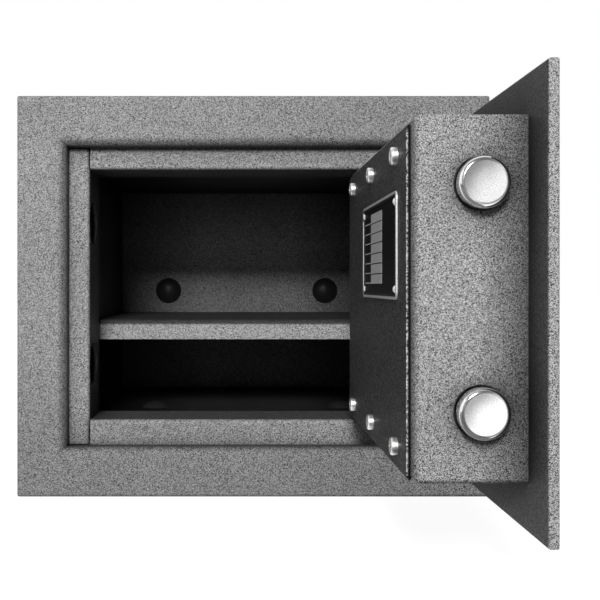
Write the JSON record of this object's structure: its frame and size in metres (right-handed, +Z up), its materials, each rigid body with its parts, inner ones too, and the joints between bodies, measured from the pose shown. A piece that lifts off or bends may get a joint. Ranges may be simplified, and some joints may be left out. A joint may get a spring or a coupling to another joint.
{
  "type": "small double-walled safe",
  "caption": "Small steel safe with a thick filled wall, a hinged door with round locking bolts, a turning knob, a key lock and a shelf, shown with its door open.",
  "frame": {"origin": "middle of the cabinet's underside", "axes": "+X to the right seen from the front, +Y to the back of the cabinet, +Z up"},
  "size_m": [0.35, 0.56, 0.297],
  "materials": {
    "grey_powder_coat": "fine speckled grey textured powder coat",
    "liner_coat": "fine speckled dark grey textured powder coat",
    "cover_coat": "fine textured dark grey powder coat",
    "bolt_chrome": "polished chrome",
    "zinc_steel": "bright zinc plate",
    "plain_steel": "machined steel",
    "brass": "turned brass",
    "black_plastic": "matte black",
    "filling": "cast mineral filling",
    "label_metal": "printed satin aluminium",
    "knob_metal": "satin chrome"
  },
  "bodies": {
    "cabinet": {"outer_casing": "grey_powder_coat", "back_panel": "grey_powder_coat", "left_stile": "grey_powder_coat", "right_stile": "grey_powder_coat", "top_rail": "grey_powder_coat", "bottom_rail": "grey_powder_coat", "inner_liner": "liner_coat", "wall_fill": "filling", "shelf": "grey_powder_coat", "shelf_brackets": "liner_coat", "back_anchor_sleeves": "zinc_steel", "base_anchor_sleeves": "zinc_steel", "back_plugs": "black_plastic", "floor_plugs": "black_plastic", "hinge_blocks": "grey_powder_coat", "hinge_washers": "brass"},
    "door": {"door_plate": "grey_powder_coat", "hinge_lugs": "grey_powder_coat", "hinge_pins": "plain_steel", "boltwork_box": "grey_powder_coat", "cover_plate": "cover_coat", "cover_screws": "zinc_steel", "cover_nuts": "zinc_steel", "data_plate": "label_metal", "data_plate_rivets": "zinc_steel", "bolt_guides": "black_plastic", "carriage_supports": "black_plastic", "spindle_bush": "brass", "knob_rosette": "knob_metal", "lock_case": "plain_steel", "lock_case_screws": "zinc_steel", "key_escutcheon": "knob_metal", "keyhole_cover_pivot": "knob_metal"},
    "handle": {"knob": "knob_metal", "spindle": "plain_steel", "crank_arm": "plain_steel", "crank_pin": "plain_steel", "spindle_clip": "plain_steel"},
    "bolts": {"upper_bolt": "bolt_chrome", "lower_bolt": "bolt_chrome", "bolt_carriage": "plain_steel", "bolt_cap_screws": "plain_steel"},
    "key_cylinder": {"key_plug": "brass"},
    "lock": {"lock_bolt": "brass"},
    "cover_flap": {"keyhole_cover": "knob_metal"}
  },
  "joints": [
    {"name": "door_hinge", "type": "hinge", "parent": "cabinet", "child": "door", "pos_m": [0.1275, -0.1455, 0.1485], "axis": [0, 0, 1], "range_deg": [-90, 8]},
    {"name": "handle_turn", "type": "hinge", "parent": "door", "child": "handle", "pos_m": [0.132, -0.2951, 0.1507], "axis": [1, 0, 0], "range_deg": [0, 60]},
    {"name": "bolt_slide", "type": "slide", "parent": "door", "child": "bolts", "axis": [0, -1, 0], "range_m": [0, 0.01]},
    {"name": "key_turn", "type": "hinge", "parent": "door", "child": "key_cylinder", "pos_m": [0.132, -0.2951, 0.1057], "axis": [1, 0, 0], "range_deg": [0, 90]},
    {"name": "lock_slide", "type": "slide", "parent": "door", "child": "lock", "axis": [0, 0, 1], "range_m": [0, 0.006]},
    {"name": "keyhole_cover_swing", "type": "hinge", "parent": "door", "child": "cover_flap", "pos_m": [0.135, -0.2951, 0.1172], "axis": [1, 0, 0], "range_deg": [0, 100]}
  ],
  "couplings": [
    {"joint": "handle_turn", "follows": "bolt_slide", "rad_per_m": 104.72},
    {"joint": "lock_slide", "follows": "key_turn", "m_per_rad": 0.0038197}
  ]
}
